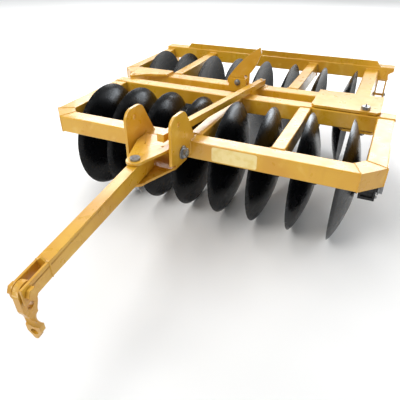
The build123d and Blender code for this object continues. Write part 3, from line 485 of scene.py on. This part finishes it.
class Parts:
    """Small pieces of one finish that move with one body, gathered into one mesh."""

    def __init__(self, name, body, slot, finish=None):
        self.name, self.body, self.slot = name, body, slot
        self.material = finish or FINISHES[slot]
        self.bm = bmesh.new()

    def skin(self, rings, joined=False):
        """Faces through rings of as many points each; the ends are closed, or joined to each other."""
        loops = [[self.bm.verts.new(point) for point in ring] for ring in rings]
        pairs = list(zip(loops, loops[1:]))
        if joined:
            pairs.append((loops[-1], loops[0]))
        for first, second in pairs:
            for k in range(len(first)):
                after = (k + 1) % len(first)
                self.bm.faces.new((first[k], first[after], second[after], second[k]))
        if not joined:
            self.bm.faces.new(loops[0])
            self.bm.faces.new(loops[-1])

    def stack(self, base, axis, rings, joined=False):
        """A piece along an axis from its base; a ring has one (height, radius) for each side."""
        ahead, across, beside = axes(axis)
        loops = []
        for ring in rings:
            turn = 2 * pi / len(ring)
            loops.append([
                base + ahead * height + (across * cos(k * turn) + beside * sin(k * turn)) * radius
                for k, (height, radius) in enumerate(ring)
            ])
        self.skin(loops, joined)

    def turned(self, base, axis, profile, sides=ROUND_SIDES, joined=False):
        """A round piece from pairs of height and radius."""
        self.stack(base, axis, [[pair] * sides for pair in profile], joined)

    def hexagon(self, base, axis, across, height):
        """A nut or a head with chamfered corners."""
        corner, flat = across / 2, across / 2 * cos(pi / HEAD_SIDES)
        low = [(0, corner), (0, flat)] * HEAD_SIDES
        high = [(HEAD_CORNER_RISE * height, corner), (HEAD_FLAT_RISE * height, flat)] * HEAD_SIDES
        face = [(height, HEAD_FACE * corner)] * (2 * HEAD_SIDES)
        self.stack(base, axis, [low, high, face])

    def bolt(self, base, axis, across):
        """A washer and a hexagon head on it."""
        ahead = Vector(axis).normalized()
        rim, thick = WASHER_SHARE * across, WASHER_THICKNESS
        profile = [(-thick, rim), (WASHER_EDGE_RISE * thick, rim)]
        profile += [(thick, WASHER_FACE * rim), (thick, WASHER_MIDDLE * rim)]
        self.turned(base, axis, profile)
        self.hexagon(base + ahead * thick, axis, across, HEAD_SHARE * across)

    def washer(self, base, axis, radius, thickness, sides=ROUND_SIDES):
        """A plain washer, sunk a little into the face below it, with its edge broken."""
        top = (thickness + WASHER_BREAK, radius - 2 * WASHER_BREAK)
        self.turned(base, axis, [(-WASHER_SUNK, radius), (thickness, radius), top], sides)

    def nipple(self, base, axis):
        """A grease nipple."""
        self.turned(base, axis, NIPPLE, NIPPLE_SIDES)

    def tube(self, places, radii):
        """A round skin along the places, as thick as the radii say."""
        turns = [2 * pi * k / BEAD_SIDES for k in range(BEAD_SIDES)]
        rings = []
        across = None
        for k, place in enumerate(places):
            ahead = (places[min(k + 1, len(places) - 1)] - places[max(k - 1, 0)]).normalized()
            if across is None:
                across = ahead.orthogonal()
            across = (across - ahead * across.dot(ahead)).normalized()
            beside = ahead.cross(across)
            rings.append([place + (across * cos(turn) + beside * sin(turn)) * radii[k] for turn in turns])
        self.skin(rings)

    def bead(self, *points, size=FILLET):
        """A rippled weld bead along straight runs."""
        points = [Vector(point) for point in points]
        for first, second in zip(points, points[1:]):
            steps = max(BEAD_LEAST_STEPS, round((second - first).length / BEAD_STEP))
            places = [first.lerp(second, k / steps) for k in range(steps + 1)]
            radii = []
            for k, place in enumerate(places):
                ripple = BEAD_RIPPLE * (1 if k % 2 else -1)
                jitter = BEAD_JITTER * smooth_noise(place * BEAD_JITTER_SCALE)
                end = BEAD_END if k in (0, steps) else 1.0
                radii.append(size * end * (1 + ripple + jitter))
            self.tube(places, radii)

    def closed_bead(self, *corners, size=FILLET):
        """A rippled weld bead all the way round an outline."""
        self.bead(*corners, corners[0], size=size)

    def ring_bead(self, centre, axis, radius):
        """A weld bead round a tube."""
        across, beside = axes(axis)[1:]
        count = round(2 * pi * radius / BEAD_STEP)
        turns = [2 * pi * k / count for k in range(0, count, RING_BEAD_STRIDE)]
        self.closed_bead(*[centre + (across * cos(turn) + beside * sin(turn)) * radius for turn in turns])

    def cotter(self, place, axis, up, size):
        """A split pin through a place, with its eye at one end and its legs bent apart at the other."""
        ahead, upward = Vector(axis).normalized() * size, Vector(up).normalized() * size
        wire = COTTER_WIRE * size
        turns = [2 * pi * k / COTTER_EYE_STEPS for k in range(COTTER_EYE_STEPS + 1)]
        eye = [
            place - ahead * (COTTER_EYE_SETBACK + COTTER_EYE * cos(turn)) + upward * COTTER_EYE * sin(turn)
            for turn in turns
        ]
        self.tube(eye, [wire] * len(eye))
        for way in (-1, 1):
            leg = [place + ahead * along + upward * way * out for along, out in COTTER_LEG]
            self.tube(leg, [wire] * len(leg))

    def done(self):
        """The finished piece, riding on its body."""
        bmesh.ops.recalc_face_normals(self.bm, faces=self.bm.faces)
        for face in self.bm.faces:
            face.smooth = True
        mesh = bpy.data.meshes.new(self.name)
        self.bm.to_mesh(mesh)
        self.bm.free()
        mesh.set_sharp_from_angle(angle=SHARP_ANGLE)
        mesh.materials.append(self.material)
        piece = bpy.data.objects.new(self.name, mesh)
        bpy.context.scene.collection.objects.link(piece)
        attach(piece, self.body)
        return piece


# Discs and gang bolts
def disc_profile(rim):
    """Distances from the rim plane and radii round a dished disc, from its hole outwards and back."""
    depth = DISC_DISH - DISC_THICKNESS
    reach = (rim ** 2 - DISC_SEAT ** 2 - depth ** 2) / (2 * depth)
    hollow = sqrt(rim ** 2 + reach ** 2)
    back = hollow + DISC_THICKNESS
    back_seat = sqrt(back ** 2 - (DISC_DISH + reach) ** 2)

    def dish(radius, inner, outer):
        steps = [inner + (outer - inner) * k / DISC_RINGS for k in range(DISC_RINGS + 1)]
        return [(sqrt(radius ** 2 - out ** 2) - reach, out) for out in steps]

    outside = [(DISC_DISH, DISC_HOLE), *dish(back, back_seat, rim - DISC_BEVEL), (DISC_EDGE, rim), (0, rim)]
    return [*outside, *dish(hollow, rim, DISC_SEAT)[1:], (depth, DISC_HOLE)]


def discs(name, body, way):
    """The gang's discs, in the node's own places; way is 1 where they bulge to the right."""
    node = name + "_discs"
    low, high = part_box(node)
    axle = middle(node)
    spacing = (high.x - low.x - DISC_DISH) / (DISC_COUNT - 1)
    first = low.x if way > 0 else high.x
    parts = Parts(name + "_disc_set", body, SLOTS[node], DISC_FINISHES[node])
    for k in range(DISC_COUNT):
        rim_middle = Vector((first + way * k * spacing, axle.y, axle.z))
        parts.turned(rim_middle, (way, 0, 0), disc_profile(high.z - axle.z), DISC_SIDES, joined=True)
    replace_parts(parts.done(), node)


def gang_fittings(name, body):
    """Washers, locking tabs and bolt ends at the nuts of a gang bolt."""
    low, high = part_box(name + "_gang_bolt")
    axle = middle(name + "_gang_bolt")
    parts = Parts(name + "_gang_fittings", body, "steel_bolt")
    for face, way in ((low.x, -1), (high.x, 1)):
        axis = (way, 0, 0)
        end = Vector((face - way * GANG_END_INSET, axle.y, axle.z))
        parts.turned(end, axis, GANG_BOLT_END, GANG_BOLT_SIDES)
        under = Vector((face - way * GANG_WASHER_INSET, axle.y, axle.z))
        parts.washer(under, axis, GANG_WASHER_RADIUS, GANG_WASHER_THICKNESS, GANG_WASHER_SIDES)
        for turn in (TAB_TURN, TAB_TURN + pi):
            tab = under + Vector((0, cos(turn), sin(turn))) * TAB_OUT
            parts.bead(tab, tab + Vector((way * TAB_LENGTH, 0, 0)), size=TAB_THICKNESS)
    parts.done()


# Welds of the frames
def frame_seams(parts, name, widths):
    """Welds of one frame's corners, side beams and cross beams."""
    low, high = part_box(name + "_fore_beam")
    beam, fore = high.z - low.z, low.y
    aft_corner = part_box(name + "_aft_beam")[0]
    aft, aft_low = aft_corner.y, aft_corner.z
    for end, way, corner in (("left", 1, low.x), ("right", -1, high.x)):
        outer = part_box(f"{name}_{end}_beam")[0 if way > 0 else 1].x
        cut, slant = abs(corner - outer), beam * (sqrt(2) - 1)
        inner = outer + way * widths[end]
        mitres = (
            ((corner, fore), (corner + way * slant, fore + beam)),
            ((outer, fore + cut), (inner, fore + cut + beam * sqrt(2) - widths[end])),
        )
        for outside, inside in mitres:
            for z in (low.z, high.z):
                parts.bead((*outside, z), (*inside, z), size=FLUSH)
            parts.bead((*outside, low.z), (*outside, high.z), size=FLUSH)
            parts.bead((*inside, low.z), (*inside, high.z))
        parts.bead((inner, aft, low.z), (inner, aft, high.z), (outer, aft, high.z))
        parts.bead((outer, aft, high.z), (outer, aft, aft_low), (inner, aft, aft_low), size=FLUSH)
    for end in ("left", "right"):
        near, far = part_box(f"{name}_cross_beam_{end}")
        for y in (near.y, far.y):
            parts.closed_bead((near.x, y, near.z), (near.x, y, far.z), (far.x, y, far.z), (far.x, y, near.z))


def end_caps(parts, node):
    """Welds round the plates that close a beam's ends."""
    low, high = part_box(node)
    for x in (low.x, high.x):
        y, z = (low.y + CAP_INSET, high.y - CAP_INSET), (low.z + CAP_INSET, high.z - CAP_INSET)
        corners = [(x, y[0], z[0]), (x, y[0], z[1]), (x, y[1], z[1]), (x, y[1], z[0])]
        parts.closed_bead(*corners, size=FLUSH)


def foot_seam(parts, node, z):
    """Welds at a height round a node's box."""
    near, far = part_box(node)
    parts.closed_bead((near.x, near.y, z), (far.x, near.y, z), (far.x, far.y, z), (near.x, far.y, z))


def hitch_seams(parts):
    """Welds of the tall plates and of the brace bar's guide on the fore beam."""
    low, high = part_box("front_fore_beam")
    pivot = middle("hitch_pivot_bolt")
    for end in ("left", "right"):
        near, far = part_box("hitch_plate_" + end)
        for x in (near.x, far.x):
            parts.bead((x, low.y, pivot.z - PIVOT_TO_HEEL), (x, low.y, high.z), (x, far.y, high.z))
        parts.bead((near.x, far.y, high.z), (far.x, far.y, high.z))
    near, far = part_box("brace_guide")
    parts.bead((near.x, low.y + FILLET, high.z), (near.x, far.y, high.z), (far.x, far.y, high.z))


def plate_seams(parts, node, way, right):
    """Welds at the left and the back of a plate on the rear fore beam; way is 1 on top of it."""
    beam_low, beam_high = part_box("rear_fore_beam")
    low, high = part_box(node)
    z = beam_high.z if way > 0 else beam_low.z
    parts.bead((low.x, beam_low.y + PLATE_WELD_INSET, z), (low.x, high.y, z), (right, high.y, z))


def rear_seams(parts):
    """Welds of the pieces on the rear frame."""
    low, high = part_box("rear_fore_beam")
    plate_seams(parts, "hinge_plate_upper", 1, high.x)
    plate_seams(parts, "hinge_plate_lower", -1, high.x)
    plate_seams(parts, "lock_plate", 1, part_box("lock_plate")[1].x)
    near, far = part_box("latch_housing")
    left, right, back = (near.x, low.y, high.z), (far.x, low.y, high.z), low.y + LATCH_DEPTH
    parts.bead(left, (near.x, low.y, near.z), (far.x, low.y, near.z), right)
    parts.bead(left, (near.x, back, high.z), (far.x, back, high.z), right)
    foot_seam(parts, "brace_lug", high.z)
    near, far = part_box("rear_rail")
    for k in range(RAIL_STITCHES):
        x = near.x + (far.x - near.x - RAIL_STITCH) * k / (RAIL_STITCHES - 1)
        parts.bead((x, far.y, near.z), (x + RAIL_STITCH, far.y, near.z))
        parts.bead((x, near.y, near.z), (x + RAIL_STITCH, near.y, near.z), size=FLUSH)
    for node in ("rear_stay_left", "rear_stay_right"):
        foot_seam(parts, node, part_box(node)[1].z)


# Bolts and pins of the frames
def hanger_bolts(parts, name, end):
    """Bolt heads on one hanger: under its flange, round its bearing and under its foot."""
    low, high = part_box(f"{name}_hanger_{end}")
    centre = (low + high) / 2
    axle_z = middle(name + "_gang_bolt").z
    outer, outer_way = (high.x, 1) if end == "right" else (low.x, -1)
    for way in (-1, 1):
        for inset in FLANGE_BOLT_INSETS:
            y = centre.y + way * ((high.y - low.y) / 2 - inset)
            parts.bolt(Vector((centre.x, y, high.z - HANGER_PLATE)), (0, 0, -1), SMALL_HEAD)
        parts.bolt(Vector((centre.x + way * FOOT_BOLT_SPREAD, centre.y, low.z)), (0, 0, -1), SMALL_HEAD)
        for rise in (-BEARING_BOLT_SPREAD, BEARING_BOLT_SPREAD):
            place = Vector((outer, centre.y + way * BEARING_BOLT_SPREAD, axle_z + rise))
            parts.bolt(place, (outer_way, 0, 0), BEARING_HEAD)
    nipple = Vector((centre.x, centre.y - BEARING_NIPPLE_FORE, axle_z + BEARING_NIPPLE_RISE))
    parts.nipple(nipple, (0, -1, 1))


def stay_pin(parts, end):
    """Washers, bolt ends and split pins at both ends of a stay's cross pin."""
    low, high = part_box("rear_stay_" + end)
    y, z = (low.y + high.y) / 2, low.z + (high.y - low.y) / 2
    for x, way in ((low.x, -1), (high.x, 1)):
        face, axis = Vector((x, y, z)), (way, 0, 0)
        parts.washer(face, axis, STAY_WASHER_RADIUS, STAY_WASHER_THICKNESS)
        parts.turned(face, axis, STAY_PIN_END)
        parts.cotter(face + Vector((way * STAY_COTTER_OUT, 0, 0)), (0, 0, 1), (0, 1, 0), SMALL_COTTER)


def front_bolts():
    """Bright small pieces of the front frame."""
    parts = Parts("front_bolts", "front_frame", "steel_bolt")
    for end in ("left", "right"):
        hanger_bolts(parts, "front", end)
    low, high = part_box("hitch_pivot_bolt")
    pivot = middle("hitch_pivot_bolt")
    for face, way in ((low.x, -1), (high.x, 1)):
        parts.turned(Vector((face, pivot.y, pivot.z)), (way, 0, 0), PIVOT_BOLT_END)
    parts.done()


def rear_bolts():
    """Bright small pieces of the rear frame."""
    parts = Parts("rear_bolts", "rear_frame", "steel_bolt")
    for end in ("left", "right"):
        hanger_bolts(parts, "rear", end)
        stay_pin(parts, end)
    hinge = middle("hinge_pin")
    parts.nipple(Vector((hinge.x, hinge.y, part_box("hinge_pin")[1].z)), (0, 0, 1))
    beam_low, beam_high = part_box("rear_fore_beam")
    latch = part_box("latch_housing")[0]
    bolt = Vector((latch.x + LATCH_BOLT_INSET, latch.y, beam_high.z + LATCH_BOLT_RISE))
    washer, nut = bolt + Vector((0, LATCH_WASHER_INSET, 0)), bolt + Vector((0, LATCH_NUT_INSET, 0))
    parts.washer(washer, (0, -1, 0), LATCH_WASHER_RADIUS, LATCH_WASHER_THICKNESS)
    parts.hexagon(nut, (0, -1, 0), LATCH_NUT, LATCH_NUT_HEIGHT)
    lug, lug_top = middle("brace_lug"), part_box("brace_lug")[1].z
    pin = Vector((lug.x, beam_low.y + BRACE_PIN_INSET, lug_top - BRACE_COTTER_DROP))
    parts.cotter(pin, (1, 0, 0), (0, 1, 0), SMALL_COTTER)
    parts.done()


# Jaw and drawbar
def jaw_details():
    """Welds inside the jaw and its grease nipple."""
    low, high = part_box("jaw")
    pivot = middle("hitch_pivot_bolt")
    parts = Parts("jaw_welds", "jaw", "yellow_frame", BEAD_FINISH)
    centre = (low.x + high.x) / 2
    half = (high.x - low.x) / 2 - JAW_TUBE_OVERHANG - JAW_WEB
    for way in (-1, 1):
        x = centre + way * half
        for z in (low.z + JAW_PLATE, high.z - JAW_PLATE):
            parts.bead((x, pivot.y - JAW_WEB_FORE, z), (x, high.y - JAW_WELD_END, z))
        parts.ring_bead(Vector((x, pivot.y, pivot.z)), (1, 0, 0), PIVOT_TUBE)
    parts.done()
    fittings = Parts("jaw_nipple", "jaw", "steel_bolt")
    fittings.nipple(Vector((centre + JAW_NIPPLE_X, pivot.y - PIVOT_TUBE, pivot.z)), (0, -1, 0))
    fittings.done()


def drawbar_place(across, along, z):
    """A place on the drawbar, from its pin towards its nose."""
    pin = middle("drawbar_pin")
    ahead = Vector((sin(DRAWBAR_YAW), -cos(DRAWBAR_YAW), 0))
    beside = Vector((cos(DRAWBAR_YAW), sin(DRAWBAR_YAW), 0))
    return Vector((pin.x, pin.y, z)) + ahead * along + beside * across


def drawbar_details():
    """Welds of the drawbar and the split pin in its upright pin."""
    low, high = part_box("drawbar")
    parts = Parts("drawbar_welds", "drawbar", "yellow_frame", BEAD_FINISH)
    top, half = high.z - NOSE_TIP, DRAWBAR_HALF
    nose_low, nose_weld = top - NOSE_HEIGHT, DRAWBAR_OPEN - NOSE_WELD_SETBACK
    corners = [(-half, nose_low), (-half, top), (half, top), (half, nose_low)]
    parts.bead(*[drawbar_place(across, nose_weld, z) for across, z in corners], size=FLUSH)
    slope = (nose_low - low.z) / (DRAWBAR_OPEN + DRAWBAR_TAIL)
    runs = (BELLY_WELD_START, DRAWBAR_OPEN - BELLY_WELD_SETBACK)
    ends = [drawbar_place(0, along, low.z + slope * (along + DRAWBAR_TAIL)) for along in runs]
    parts.bead(*ends, size=FLUSH)
    parts.done()
    fittings = Parts("drawbar_fittings", "drawbar", "steel_bolt")
    pin = middle("drawbar_pin")
    place = Vector((pin.x, pin.y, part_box("drawbar_pin")[0].z + DRAWBAR_COTTER_RISE))
    fittings.cotter(place, DRAWBAR_COTTER_AXIS, (0, 0, 1), LARGE_COTTER)
    fittings.done()


# Label
def sticker():
    """The blank cream label on the fore beam's front face."""
    frame_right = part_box("front_right_beam")[1].x
    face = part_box("front_fore_beam")[0].y
    left, right = frame_right - STICKER_LEFT, frame_right - STICKER_RIGHT
    corner, outline = STICKER_CORNER, []
    centres = (
        (right - corner, STICKER_HIGH - corner), (left + corner, STICKER_HIGH - corner),
        (left + corner, STICKER_LOW + corner), (right - corner, STICKER_LOW + corner),
    )
    for quarter, (x, z) in enumerate(centres):
        for k in range(STICKER_CORNER_STEPS + 1):
            turn = (quarter + k / STICKER_CORNER_STEPS) * pi / 2
            outline.append((x + corner * cos(turn), z + corner * sin(turn)))
    parts = Parts("blank_sticker", "front_frame", "yellow_frame", sticker_film())
    depths = (face + STICKER_THICKNESS, face - STICKER_THICKNESS)
    parts.skin([[Vector((x, y, z)) for x, z in outline] for y in depths])
    parts.done()


# The whole machine
def details():
    """Every piece that the frame doesn't bring along."""
    welds = Parts("front_welds", "front_frame", "yellow_frame", BEAD_FINISH)
    frame_seams(welds, "front", {"left": BEAM, "right": BEAM})
    end_caps(welds, "front_aft_beam")
    hitch_seams(welds)
    welds.done()
    welds = Parts("rear_welds", "rear_frame", "yellow_frame", BEAD_FINISH)
    frame_seams(welds, "rear", {"left": REAR_LEFT_BEAM, "right": BEAM})
    rear_seams(welds)
    welds.done()
    front_bolts()
    rear_bolts()
    jaw_details()
    drawbar_details()
    sticker()
    for name, body, way in (("front", "front_gang", 1), ("rear", "rear_gang", -1)):
        discs(name, body, way)
        gang_fittings(name, body)


def dress_nodes():
    """Every carried-over node takes the finish of its slot, and all but the discs softly rounded edges."""
    for row in frame["record"]["subparts"]:
        node = row["node"]
        target = NODES[node]
        target.data.materials.clear()
        slot = PAINTED_OVER.get(node, row["material_slot"])
        target.data.materials.append(DISC_FINISHES.get(node) or FINISHES[slot])
        if node in DISC_FINISHES:
            continue
        weld = target.modifiers.new("merge", "WELD")
        weld.merge_threshold = MERGE_DISTANCE
        bevel = target.modifiers.new("soft_edges", "BEVEL")
        bevel.width = EDGE_ROUNDING
        bevel.segments = EDGE_SEGMENTS
        bevel.limit_method = "ANGLE"
        bevel.angle_limit = EDGE_ANGLE


# Stage
def datum():
    """The front frame's right side and fore face, on the ground."""
    return Vector((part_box("front_right_beam")[1].x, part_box("front_fore_beam")[0].y, 0))


def camera():
    """The photograph's view."""
    data = bpy.data.cameras.new("photo_camera")
    data.sensor_width = SENSOR
    data.lens = FOCAL_PIXELS / PHOTO_WIDTH * SENSOR
    data.clip_end = CAMERA_REACH
    view = bpy.data.objects.new("photo_camera", data)
    bpy.context.scene.collection.objects.link(view)
    heading = Vector((sin(CAMERA_YAW), cos(CAMERA_YAW), 0))
    ahead = heading * cos(CAMERA_PITCH) - Vector((0, 0, sin(CAMERA_PITCH)))
    level = Vector((cos(CAMERA_YAW), -sin(CAMERA_YAW), 0))
    upward = level.cross(ahead)
    right = level * cos(CAMERA_ROLL) + upward * sin(CAMERA_ROLL)
    up = upward * cos(CAMERA_ROLL) - level * sin(CAMERA_ROLL)
    turn = Matrix((right, up, -ahead)).transposed().to_4x4()
    view.matrix_world = Matrix.Translation(datum() + Vector(CAMERA_OFFSET)) @ turn
    bpy.context.scene.camera = view


def light(name, kind, power, colour, ray):
    """A light of a kind and colour that shines along a ray."""
    data = bpy.data.lights.new(name, kind)
    data.energy = power
    data.color = colour
    lamp = bpy.data.objects.new(name, data)
    bpy.context.scene.collection.objects.link(lamp)
    lamp.rotation_mode = "QUATERNION"
    lamp.rotation_quaternion = ray.to_track_quat("-Z", "Y")
    return lamp


def lights():
    """A soft key from the front left, and area lights behind, above and low at the back right."""
    sun = light("key", "SUN", SUN_STRENGTH, SUN_COLOUR, Vector(SUN_TOWARDS))
    sun.data.angle = SUN_SPREAD
    for name, place, target, size, power, colour in AREA_LIGHTS:
        lamp = light(name, "AREA", power, colour, Vector(target) - Vector(place))
        lamp.data.shape = "RECTANGLE"
        lamp.data.size, lamp.data.size_y = size
        lamp.location = place
        lamp.visible_camera = False


def stage():
    """A wide pale floor in an evenly lit room."""
    bm = bmesh.new()
    bmesh.ops.create_grid(bm, x_segments=2, y_segments=2, size=FLOOR_HALF)
    mesh = bpy.data.meshes.new("floor")
    bm.to_mesh(mesh)
    bm.free()
    floor = bpy.data.objects.new("floor", mesh)
    floor.location.z = -FLOOR_DROP
    floor.data.materials.append(floor_finish())
    bpy.context.scene.collection.objects.link(floor)
    world = bpy.data.worlds.new("studio")
    world.use_nodes = True
    background = world.node_tree.nodes["Background"]
    background.inputs["Color"].default_value = ROOM_COLOUR
    background.inputs["Strength"].default_value = ROOM_STRENGTH
    bpy.context.scene.world = world
    bpy.context.scene.view_settings.view_transform = "Standard"


dress_nodes()
details()
camera()
stage()
lights()
